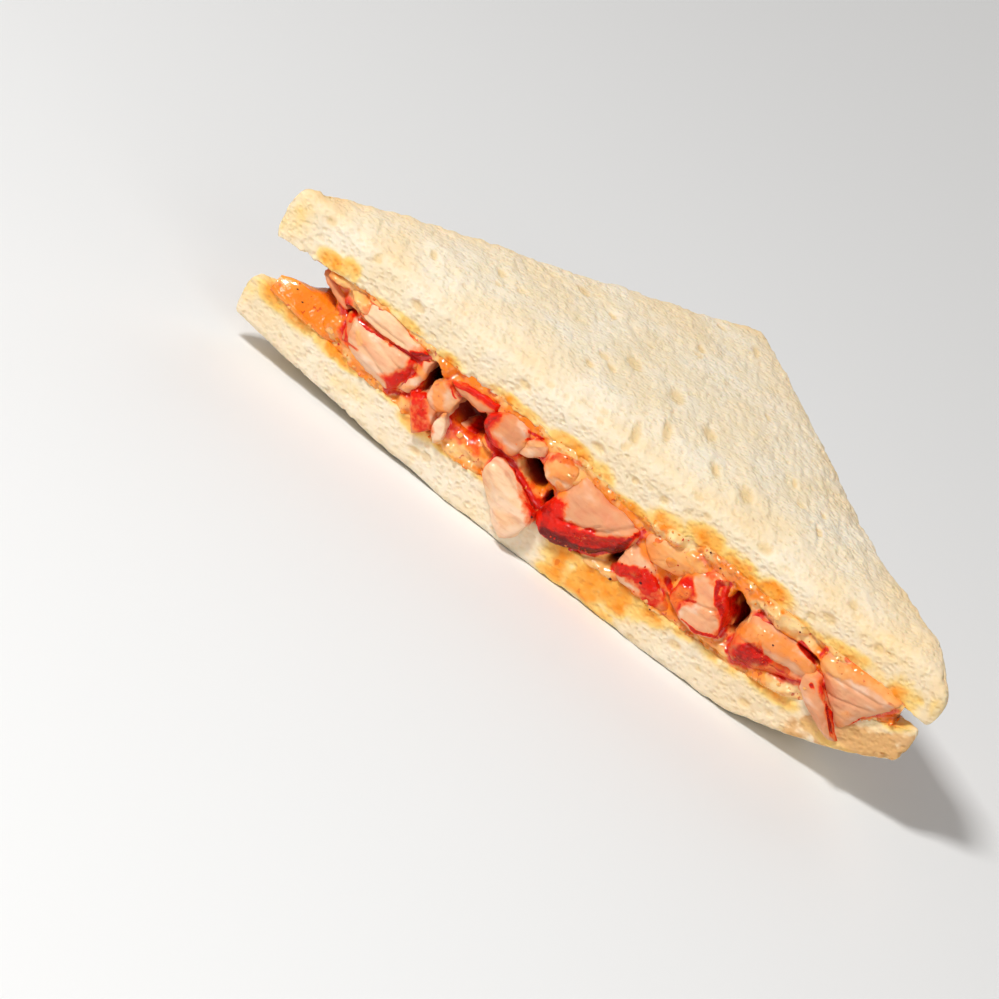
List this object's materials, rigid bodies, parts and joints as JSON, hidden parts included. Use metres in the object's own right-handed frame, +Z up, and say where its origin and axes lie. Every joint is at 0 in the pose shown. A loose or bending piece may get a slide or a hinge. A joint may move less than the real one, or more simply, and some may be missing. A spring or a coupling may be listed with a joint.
{
  "type": "chicken tikka sandwich half",
  "caption": "Triangular half of a crustless white bread sandwich filled with chicken tikka pieces in orange mayonnaise.",
  "frame": {"origin": "on the plate, under the middle of the half sandwich's footprint", "axes": "+X along the cut face from its free left corner to its pinched right corner as seen from the cut, +Y from the cut face to the square corner, +Z up"},
  "size_m": [0.1466, 0.0778, 0.0343],
  "materials": {
    "bread": "soft white bread with its crust cut off: matt crumb with small pores, creamy at the edges",
    "mayonnaise": "orange tikka mayonnaise, wet and glossy, with pepper and spice specks",
    "chicken": "cooked chicken breast, pale pink where cut and red-orange on the marinated skin, moist",
    "chopped_filling": "chopped chicken tikka bound with mayonnaise, moist"
  },
  "bodies": {
    "root": {"bread_bottom": "bread", "bread_top": "bread", "chicken_cave_lump": "chicken", "chicken_coated_block": "chicken", "chicken_coated_knob": "chicken", "chicken_end_chunk": "chicken", "chicken_flap": "chicken", "chicken_glazed_knob": "chicken", "chicken_grey_chunk": "chicken", "chicken_large_chunk": "chicken", "chicken_leaning_wedge": "chicken", "chicken_left_chip": "chicken", "chicken_left_slab": "chicken", "chicken_pale_block": "chicken", "chicken_pale_shard": "chicken", "chicken_peach_block": "chicken", "chicken_red_crag": "chicken", "chicken_red_nugget": "chicken", "chicken_roof_strip": "chicken", "chicken_sliver": "chicken", "chicken_tail": "chicken", "chicken_tan_chip": "chicken", "chicken_upper_strip": "chicken", "chopped_chicken": "chopped_filling", "mayonnaise_bottom": "mayonnaise", "mayonnaise_top": "mayonnaise"}
  },
  "joints": []
}
